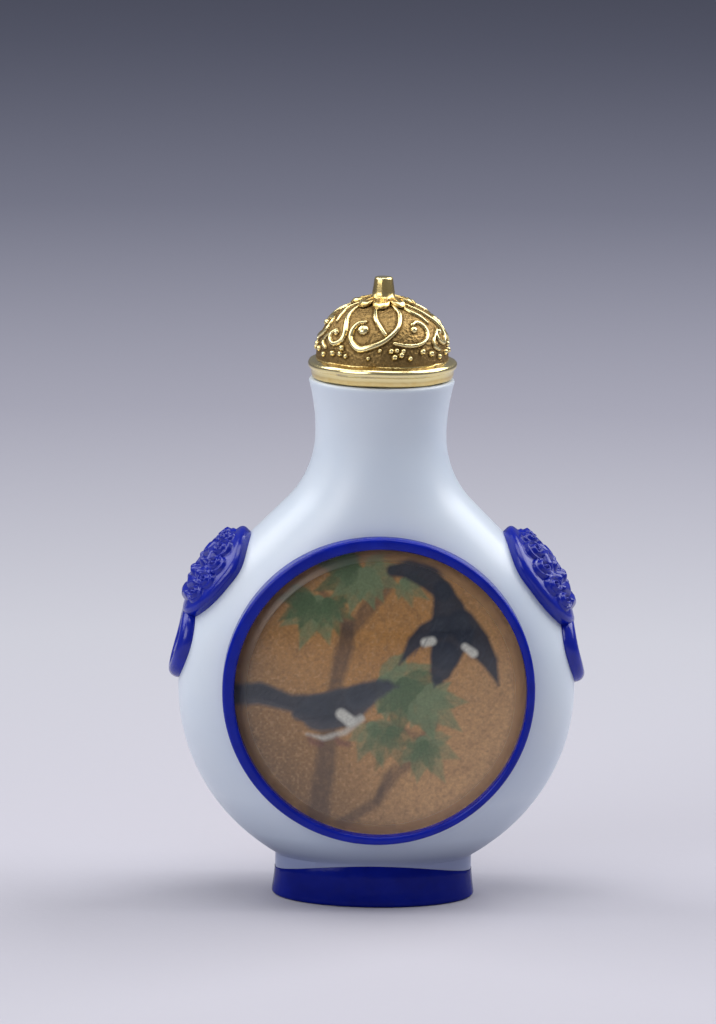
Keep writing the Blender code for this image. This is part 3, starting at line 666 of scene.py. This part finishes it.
# Lion masks of cobalt glass on the narrow sides, each carved in one with the ring hanging from its mouth.
# The blue overlay was cut back round them to the white glass, and then carved and polished.

mask_half_width = 0.0052
mask_half_heights = {"left": 0.0055, "right": 0.0061}
mask_top_narrowing = 0.35
mask_squareness = 2.4
mask_chin_squareness = 2.8
mask_angle = math.radians(35.4)
mask_edge = 0.0012
mask_swell = 0.0004
mask_carving = 0.0008
mask_rounding = 0.0006
handle_angle = math.radians(13)
handle_radius = 0.0032
handle_stroke = 0.0019
handle_height = 0.0011


def on_glass(side, across, along):
    """Points of the narrow side, at that distance towards the back and along the round outline."""
    z = body_centre + body_radius * np.sin(along / body_radius)
    sections = np.array([body_section(level) for level in z.ravel()])
    half_width, half_depth, squareness = (column.reshape(z.shape) for column in sections.T)
    reach = half_width * (1 - np.abs(across / half_depth) ** squareness) ** (1 / squareness)
    return np.stack([side * reach, across, z], axis=-1)


def off_glass(side, across, along, lift):
    """Points standing off the narrow side by that much."""
    step = body_radius * 0.004
    up = on_glass(side, across, along + step) - on_glass(side, across, along - step)
    aside = on_glass(side, across + step, along) - on_glass(side, across - step, along)
    out = np.cross(aside, up)
    out *= (np.sign(out[..., :1]) * side) / np.linalg.norm(out, axis=-1, keepdims=True)
    return on_glass(side, across, along) + out * lift[..., None]


def hump(x, y, at_x, at_y, size):
    """1 at a place on the mask, easing to 0 at that distance."""
    far = np.hypot(x - at_x, y - at_y) / size
    return np.where(far < 1, (1 - far**2) ** 2, 0)


def lock(x, y, path, size):
    """A ridge along a line of points on the mask."""
    nearest = np.full(x.shape, 9.0)
    for (x0, y0), (x1, y1) in zip(path, path[1:]):
        run = (x1 - x0) ** 2 + (y1 - y0) ** 2
        share = np.clip(((x - x0) * (x1 - x0) + (y - y0) * (y1 - y0)) / run, 0, 1)
        nearest = np.minimum(nearest, np.hypot(x - x0 - share * (x1 - x0), y - y0 - share * (y1 - y0)))
    far = nearest / size
    return np.where(far < 1, (1 - far**2) ** 1.2, 0)


def curl(x, y, at_x, at_y, size, hand):
    """A snail curl of the mane, its groove winding in to a bead."""
    dx, dy = x - at_x, y - at_y
    far = np.hypot(dx, dy) / size
    winding = far * 2.2 - hand * np.arctan2(dy, dx) / (2 * np.pi)
    ridges = 0.5 + 0.5 * np.cos(2 * np.pi * winding)
    return np.where(far < 1, (0.45 + 0.55 * ridges) * (1 - far**6), 0)


def mask_relief(across, up):
    """The carving on a shield from -1 to 1 each way: brows, eyes, nose, cheeks, jaw and curled mane."""
    x = np.abs(across)
    face = [
        0.95 * hump(x, up, 0.31, 0.04, 0.19),
        0.95 * lock(x, up, [(0.08, 0.18), (0.26, 0.30), (0.46, 0.28), (0.56, 0.12)], 0.13),
        0.80 * lock(x, up, [(0.0, 0.40), (0.0, -0.10)], 0.15),
        1.05 * hump(x, up, 0.13, -0.24, 0.21),
        0.95 * hump(x, up, 0.0, -0.20, 0.18),
        0.80 * lock(x, up, [(0.16, -0.42), (0.38, -0.50), (0.56, -0.40)], 0.13),
        0.85 * hump(x, up, 0.48, -0.20, 0.20),
        0.80 * lock(x, up, [(0.0, -0.68), (0.22, -0.74), (0.44, -0.68)], 0.12),
        1.00 * curl(x, up, 0.20, 0.66, 0.24, 1),
        0.95 * curl(x, up, 0.52, 0.46, 0.25, -1),
        0.90 * curl(x, up, 0.74, 0.10, 0.23, 1),
        0.85 * curl(x, up, 0.78, -0.26, 0.20, -1),
        0.80 * curl(x, up, 0.70, -0.60, 0.20, 1),
    ]
    return np.max(face, axis=0)


def mask(side, hand):
    """A carved shield on one narrow side, its outline rounded over and its back sunk in the glass."""
    sides = 300
    angle = np.linspace(0, 2 * np.pi, sides, endpoint=False)
    rise, run = np.sin(angle), np.cos(angle)
    power = np.where(rise > 0, 2 / mask_squareness, 2 / mask_chin_squareness)
    edge_x = np.sign(run) * np.abs(run) ** power * (1 - mask_top_narrowing * np.maximum(0, rise) ** 1.5)
    edge_y = np.sign(rise) * np.abs(rise) ** power
    half_height = mask_half_heights[hand]
    inner = 1 - mask_rounding / mask_half_width
    lines = [(inner * share, share, 0.0) for share in np.linspace(0.01, 1, 120)]
    for turn in np.linspace(0, np.pi / 2, 10)[1:]:
        lines.append((inner + (1 - inner) * math.sin(turn), 1, mask_rounding * (1 - math.cos(turn))))
    rings = []
    for reach, share, drop in lines:
        x, y = share * edge_x, share * edge_y
        carved = mask_relief(x, y) * np.clip((1 - share) / 0.06, 0, 1)
        height = mask_edge + mask_swell * (1 - share**2) + mask_carving * carved - drop
        rings.append(off_glass(side, reach * edge_x * mask_half_width,
                               mask_angle * body_radius + reach * edge_y * half_height, height))
    along = mask_angle * body_radius + edge_y * half_height
    for lift in (0.3, -0.5):
        rings.append(off_glass(side, edge_x * mask_half_width, along, np.full(sides, mask_edge * lift)))
    return closed_piece(f"blue_{hand}_mask", rings, sharp=70)


def hanging_ring(side, hand):
    """The ring in the lion's mouth, half round in section, lying on the glass below the mask."""
    sides = 140
    turn = np.linspace(0, 2 * np.pi, sides, endpoint=False)
    rings = []
    for angle in np.linspace(0, 2 * np.pi, 24, endpoint=False):
        radius = handle_radius + handle_stroke / 2 * math.cos(angle)
        lift = handle_height * max(-0.5, math.sin(angle))
        along = handle_angle * body_radius + radius * np.sin(turn)
        rings.append(off_glass(side, radius * np.cos(turn), along, np.full(sides, lift)))
    return closed_piece(f"blue_{hand}_hanging_ring", rings, joined_ends=True, sharp=70)


carved_glass = cobalt("blue_glass_carved", 1.05, 0.45)
for side, hand in ((-1, "left"), (1, "right")):
    for carving in (mask(side, hand), hanging_ring(side, hand)):
        carving.data.materials.append(carved_glass)
        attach(carving, "root")
        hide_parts(f"{hand}_mask")

# Gilt stopper, cast in one: a plug in the bottle's bore, a rounded rim, and a dome covered with scrolling
# tendrils and berries on a punched ground, under a ruffled leaf collar and a short stalk.

stopper_low, stopper_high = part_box("stopper")
stopper_gap = 0.0001
stopper_base = mouth_height + stopper_gap
rim_height = 0.0021
rim_undercut = 0.0007
dome_height = 0.006
dome_rounding = 2.2
dome_step_in = 0.0008
dome_radius = mouth_radius - dome_step_in
finial_radius = 0.00115
plug_radius = 0.0033
rim_radius = (stopper_high.x - stopper_low.x) / 2
dome_base = stopper_base + rim_height
dome_top = dome_base + dome_height
finial_height = stopper_high.z - dome_top
motifs = 3
petals = 8
petal_reach = 0.0033
highest_relief = 0.00038
stopper_sides = 540


def dome_reach(z):
    """Radius of the smooth dome at a height."""
    share = np.clip((z - dome_base) / dome_height, 0, 1)
    return dome_radius * (1 - share**dome_rounding) ** (1 / dome_rounding)


def on_dome(turn, height):
    """Points of the smooth dome: turn in degrees round from the front, height as a share of the dome's."""
    z = dome_base + dome_height * np.asarray(height)
    angle = np.radians(np.asarray(turn) - 90)
    return np.stack([dome_reach(z) * np.cos(angle), dome_reach(z) * np.sin(angle), z], axis=-1)


def smooth_line(places, spacing=0.00006):
    """Evenly close points over the dome along a curve through the places, with the half width at each."""
    places = np.array(places, float)
    turns = [places[0]]
    for i in range(len(places) - 1):
        p0, p1, p2 = places[max(0, i - 1)], places[i], places[i + 1]
        p3 = places[min(len(places) - 1, i + 2)]
        length = np.linalg.norm(on_dome(*p2[:2]) - on_dome(*p1[:2]))
        count = max(2, int(length / spacing))
        for t in np.linspace(0, 1, count + 1)[1:]:
            turns.append(0.5 * (2 * p1 + (p2 - p0) * t + (2 * p0 - 5 * p1 + 4 * p2 - p3) * t**2
                                + (3 * p1 - p0 - 3 * p2 + p3) * t**3))
    turns = np.array(turns)
    return on_dome(turns[:, 0], np.clip(turns[:, 1], 0, 1)), turns[:, 2] * millimetre


def tendrils():
    """Points along one motif's tendrils and berries, each with the half width and the rise there."""
    lines = (
        [(20, 0.96, 0.16), (23, 0.87, 0.22), (20, 0.77, 0.24), (15, 0.65, 0.24), (8, 0.54, 0.25),
         (-1, 0.42, 0.27), (-12, 0.33, 0.31), (-22, 0.29, 0.36), (-29, 0.36, 0.32), (-33, 0.47, 0.26),
         (-33, 0.60, 0.24), (-29, 0.69, 0.23), (-22, 0.72, 0.2)],
        [(-15, 0.94, 0.16), (-11, 0.78, 0.25), (-4, 0.64, 0.24), (1, 0.54, 0.17)],
        [(9, 0.40, 0.16), (19, 0.36, 0.2), (28, 0.35, 0.21), (37, 0.38, 0.21), (45, 0.46, 0.21),
         (48, 0.56, 0.2), (46, 0.66, 0.2), (40, 0.71, 0.2), (33, 0.68, 0.2)],
        [(62, 0.94, 0.16), (68, 0.78, 0.22), (75, 0.66, 0.26), (79, 0.52, 0.26), (77, 0.39, 0.25),
         (69, 0.33, 0.24), (62, 0.39, 0.22), (61, 0.49, 0.2), (66, 0.55, 0.18)],
        [(60, 0.50, 0.14), (53, 0.40, 0.18), (52, 0.30, 0.2), (58, 0.24, 0.2)],
        [(40, 0.96, 0.14), (44, 0.86, 0.2), (52, 0.78, 0.2), (57, 0.68, 0.15)],
    )
    berries = (
        (-22, 0.60, 0.58), (32, 0.60, 0.36), (68, 0.51, 0.3), (6, 0.27, 0.28), (11, 0.28, 0.26),
        (15, 0.20, 0.3), (9, 0.17, 0.3), (17, 0.27, 0.24), (23, 0.14, 0.24), (-4, 0.28, 0.2),
        (-40, 0.28, 0.3), (-41, 0.18, 0.28), (-35, 0.15, 0.24), (36, 0.24, 0.3), (46, 0.19, 0.28),
        (57, 0.12, 0.26), (-14, 0.14, 0.2), (70, 0.17, 0.28),
    )
    points, widths = zip(*[smooth_line(places) for places in lines])
    for turn, height, size in berries:
        points += (on_dome([turn], [height]),)
        widths += (np.array([size * millimetre]),)
    widths = np.concatenate(widths)
    return np.vstack(points), widths, np.minimum(widths * 1.3, highest_relief)


def dome_relief(places):
    """How far the casting stands off the smooth dome at each place, and the gilding's tone there: rubbed
    bright on the relief.
    """
    points, widths, rises = tendrils()
    step = 2 * np.pi / motifs
    rise = np.zeros(len(places))
    beside = np.full(len(places), 1.0)
    for copy in (-1, 0, 1):
        turn = copy * step
        turned = points.copy()
        turned[:, 0] = points[:, 0] * math.cos(turn) - points[:, 1] * math.sin(turn)
        turned[:, 1] = points[:, 0] * math.sin(turn) + points[:, 1] * math.cos(turn)
        for start in range(0, len(places), 4000):
            part = slice(start, start + 4000)
            far = np.linalg.norm(places[part, None, :] - turned[None, :, :], axis=2)
            height = rises * np.clip(1 - (far / widths) ** 3, 0, None) ** 0.5
            rise[part] = np.maximum(rise[part], height.max(axis=1))
            beside[part] = np.minimum(beside[part], (far - widths).min(axis=1))
    # The ground is tarnished, and darkest next to a tendril or berry, as painted shade along their edges.
    ground = 0.05 + 0.24 * np.clip(beside / 0.0003, 0, 1)
    return rise, np.where(rise > 0.00012, 0.95, ground)


def turned_profile():
    """Radius and height up the stopper's outside below its dome, from the middle of the plug's end."""
    plug_end = stopper_low.z
    under_rim = rim_radius - rim_undercut
    profile = [(plug_radius * 0.05, plug_end), (plug_radius * 0.7, plug_end)]
    profile += [(plug_radius - 0.00035, plug_end + 0.00005), (plug_radius, plug_end + 0.0007)]
    profile += [(plug_radius, stopper_base), (under_rim, stopper_base)]
    for turn in np.linspace(0, np.pi / 2, 5)[1:]:
        rise = 0.0002 * (1 - math.cos(turn))
        profile.append((under_rim + 0.0003 * math.sin(turn), stopper_base + rise))
    profile.append((rim_radius - 0.00034, stopper_base + 0.0005))
    profile.append((rim_radius - 0.00036, stopper_base + 0.00085))
    roll_middle = stopper_base + rim_height * 0.66
    for turn in np.linspace(-1.2, 1.5, 14):
        inset = 0.00048 * (1 - math.cos(turn))
        profile.append((rim_radius - inset, roll_middle + 0.00046 * math.sin(turn)))
    profile += [(rim_radius - 0.0006, dome_base - 0.00014), (dome_radius + 0.00006, dome_base - 0.00012)]
    return profile


def turned_ring(angle, radius, height):
    """A ring of points at those angles. Radius and height are one number, or one for each angle."""
    level = np.zeros(len(angle)) + height
    return np.stack([radius * np.cos(angle), radius * np.sin(angle), level], axis=1)


def stopper_body():
    """Plug, rim, cast dome and stalk in one skin, with the relief attribute that sets the gilding's tone,
    painted shade included.
    """
    angle = np.linspace(0, 2 * np.pi, stopper_sides, endpoint=False) - np.pi / 2
    rings, rubbing_and_shade_rows = [], []
    wobble = 0.00005 * (np.sin(3 * angle + 1) + np.sin(7 * angle) * 0.6 + np.sin(11 * angle + 2) * 0.4)
    for radius, z in turned_profile():
        uneven = wobble if z > stopper_base else 0 * wobble
        rings.append(turned_ring(angle, radius + uneven, z + uneven * 0.8))
        # Darker below the rim's roll than above it.
        rubbing_and_shade_rows.append(np.full(stopper_sides, 1.0 if z > stopper_base + 0.0008 else 0.72))
    third = stopper_sides // motifs
    levels = np.sin(np.radians(np.linspace(0, 78, 118)))
    turns = np.linspace(0, 360, stopper_sides, endpoint=False)
    grid = on_dome(*np.meshgrid(turns, levels))
    rise, rubbed_and_shaded = dome_relief(grid[:, :third].reshape(-1, 3))
    rise = np.tile(rise.reshape(len(levels), third), (1, motifs))
    rubbed_and_shaded = np.tile(rubbed_and_shaded.reshape(len(levels), third), (1, motifs))
    around = np.roll(grid, -1, axis=1) - np.roll(grid, 1, axis=1)
    out = np.cross(around, np.gradient(grid, axis=0))
    out /= np.linalg.norm(out, axis=2, keepdims=True)
    pitted = np.random.default_rng(5).normal(0, 0.000018, rise.shape) * (rise < 0.00005)
    rings += list(grid + out * (rise + pitted)[..., None])
    rubbing_and_shade_rows += list(rubbed_and_shaded)
    stalk = ((1.25, 0.0), (1.36, 0.05), (1.36, 0.11), (1.22, 0.16), (1.04, 0.2), (1.0, 0.4),
             (0.90, 0.7), (0.84, 0.9), (0.79, 0.97), (0.64, 1.0), (0.05, 1.0))
    for radius_share, height_share in stalk:
        radius = finial_radius * radius_share + wobble * 0.4
        rings.append(turned_ring(angle, radius, dome_top + finial_height * height_share))
        rubbing_and_shade_rows.append(np.full(stopper_sides, 1.0 if height_share > 0.95 or height_share < 0.15 else 0.7))
    made = closed_piece("gilt_stopper", rings, sharp=60)
    attribute = made.data.attributes.new("relief", "FLOAT", "POINT")
    attribute.data.foreach_set("value", np.array(rubbing_and_shade_rows).ravel().astype(np.float32))
    return made


def leaf_collar():
    """The ruffled collar: eight rounded leaves that droop over the dome, in one thin casting."""
    sides = 640
    angle = np.linspace(0, 2 * np.pi, sides, endpoint=False)
    lobe = np.abs(np.cos(angle * petals / 2 + 0.4))
    uneven = 1 + 0.06 * np.sin(3 * angle + 0.5) + 0.04 * np.sin(5 * angle)
    rim = petal_reach * (0.60 + 0.42 * lobe**0.5) * uneven
    stalk = finial_radius * 0.9
    top, under, rubbing_and_shade_rows = [], [], []
    for share in np.linspace(0, 1, 34):
        radius = stalk + (rim - stalk) * share
        fall = 1 - (radius / dome_radius) ** dome_rounding
        level = dome_base + dome_height * fall ** (1 / dome_rounding)
        curled = 0.00016 * math.exp(-((share - 0.86) / 0.12) ** 2)
        rib = 0.00013 * np.exp(-((1 - lobe) / 0.05) ** 2) * math.sin(min(1, share * 1.15) * math.pi) ** 0.5
        crease = 0.00018 * share * np.exp(-(lobe / 0.22) ** 2)
        ruffle = 0.00005 * share * np.cos(angle * petals * 3)
        lift = 0.00048 - 0.00006 * share + curled + rib + ruffle - crease
        edge = 0.00010 * share**10
        for rows, height in ((top, lift - edge), (under, 0.00008 + edge)):
            rows.append(turned_ring(angle, radius, level + height))
        # Darker in the creases between the leaves, brighter on the curled edges and ribs.
        crease_darkening = 0.5 * np.exp(-(lobe / 0.2) ** 2) * share
        rubbing_and_shade_rows.append(np.clip(0.30 + 3500 * (curled + rib) - crease_darkening, 0.05, 1))
    made = closed_piece("gilt_leaf_collar", top + under[::-1], joined_ends=True, sharp=75)
    attribute = made.data.attributes.new("relief", "FLOAT", "POINT")
    attribute.data.foreach_set("value", np.array(rubbing_and_shade_rows + rubbing_and_shade_rows[::-1]).ravel().astype(np.float32))
    return made


gilt, tree, shader = shader_of("gilt_metal")
rubbed_and_shaded = tree.nodes.new("ShaderNodeAttribute")
rubbed_and_shaded.attribute_name = "relief"
# The gold's colour, roughness and punching follow the relief attribute, which holds rubbing and, round the
# tendrils, painted shade.
mottle = tree.nodes.new("ShaderNodeMath")
mottle.operation = "MULTIPLY_ADD"
mottle.inputs[1].default_value = 0.3
tree.links.new(noise(tree, 1400, 5, 0.65), mottle.inputs[0])
tree.links.new(rubbed_and_shaded.outputs["Fac"], mottle.inputs[2])
colour = ramp(tree, mottle.outputs["Value"], (0.20, (0.12, 0.07, 0.022)), (0.46, (0.33, 0.215, 0.08)),
              (0.78, (0.84, 0.59, 0.20)), (1.0, (1.0, 0.84, 0.42)))
tree.links.new(colour, shader.inputs["Base Color"])
tree.links.new(ramp(tree, mottle.outputs["Value"], (0.3, 0.55), (0.9, 0.22)), shader.inputs["Roughness"])
shader.inputs["Metallic"].default_value = 1.0
punched = tree.nodes.new("ShaderNodeTexVoronoi")
punched.inputs["Scale"].default_value = 2600
place = tree.nodes.new("ShaderNodeTexCoord")
tree.links.new(place.outputs["Object"], punched.inputs["Vector"])
dent = bump(tree, shader, punched.outputs["Distance"], 0.00012)
tree.links.new(ramp(tree, rubbed_and_shaded.outputs["Fac"], (0.45, 0.7), (0.6, 0.04)), dent.inputs["Strength"])
for casting in (stopper_body(), leaf_collar()):
    casting.data.materials.append(gilt)
    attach(casting, "root")
    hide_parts("stopper")

# Table of pale paper whose colour darkens with distance as a painted falloff of light, under soft studio
# light from both sides and above.
# The camera looks slightly down on the bottle from a little to the left of its front.

bpy.ops.mesh.primitive_circle_add(vertices=96, radius=4, fill_type="NGON")
table = bpy.context.object
table.name = "studio_table"
paper, tree, shader = shader_of("studio_paper")
place = tree.nodes.new("ShaderNodeTexCoord")
far = tree.nodes.new("ShaderNodeVectorMath")
far.operation = "LENGTH"
tree.links.new(place.outputs["Object"], far.inputs[0])
# Painted light: the paper's colour is palest round the bottle and darkens further off, a painted pool of
# the studio light.
colour = ramp(tree, far.outputs["Value"], (0.05, (0.48, 0.47, 0.525)), (0.14, (0.46, 0.46, 0.505)),
              (0.32, (0.32, 0.317, 0.38)), (0.58, (0.215, 0.22, 0.29)), (0.92, (0.19, 0.20, 0.28)))
tree.links.new(colour, shader.inputs["Base Color"])
shader.inputs["Roughness"].default_value = 0.9
bump(tree, shader, noise(tree, 800, 3), 0.0001, 0.3)
table.data.materials.append(paper)

world = bpy.data.worlds.new("studio")
bpy.context.scene.world = world
world.use_nodes = True
world.node_tree.nodes["Background"].inputs["Color"].default_value = (0.55, 0.57, 0.66, 1)
world.node_tree.nodes["Background"].inputs["Strength"].default_value = 0.3


def softbox(name, place, aim, width, height, power):
    """A rectangle of even white light, turned to face the place it aims at."""
    lamp = bpy.data.lights.new(name, "AREA")
    lamp.shape = "RECTANGLE"
    lamp.size = width
    lamp.size_y = height
    lamp.energy = power
    made = bpy.data.objects.new(name, lamp)
    made.location = place
    made.rotation_mode = "QUATERNION"
    made.rotation_quaternion = (Vector(aim) - Vector(place)).to_track_quat("-Z", "Y")
    bpy.context.scene.collection.objects.link(made)


middle = (0, 0, 0.03)
softbox("left_softbox", (-0.46, 0.14, 0.50), middle, 0.45, 0.5, 2.2)
softbox("right_softbox", (0.47, 0.17, 0.50), middle, 0.55, 0.55, 4.0)
softbox("overhead_softbox", (0.0, -0.08, 0.75), middle, 0.5, 0.4, 2.0)
softbox("front_softbox", (-0.40, -0.38, 0.34), middle, 0.34, 0.34, 1.2)

lens_camera = bpy.data.cameras.new("camera")
camera = bpy.data.objects.new("camera", lens_camera)
bpy.context.scene.collection.objects.link(camera)
bpy.context.scene.camera = camera
camera_distance = 0.6
camera_elevation = math.radians(10.3)
camera_azimuth = math.radians(-1.5)
camera_roll = math.radians(1.0)
half_frame = 0.0538
aim = Vector((-0.00225, 0, 0.0411))
back = Vector((math.sin(camera_azimuth) * math.cos(camera_elevation),
               -math.cos(camera_azimuth) * math.cos(camera_elevation), math.sin(camera_elevation)))
camera.location = aim + back * camera_distance
camera.rotation_mode = "QUATERNION"
camera.rotation_quaternion = (-back).to_track_quat("-Z", "Y") @ Quaternion((0, 0, 1), camera_roll)
lens_camera.lens = lens_camera.sensor_width * camera_distance / (2 * half_frame)
lens_camera.clip_start = 0.01
lens_camera.clip_end = 20
bpy.context.scene.view_settings.view_transform = "Standard"
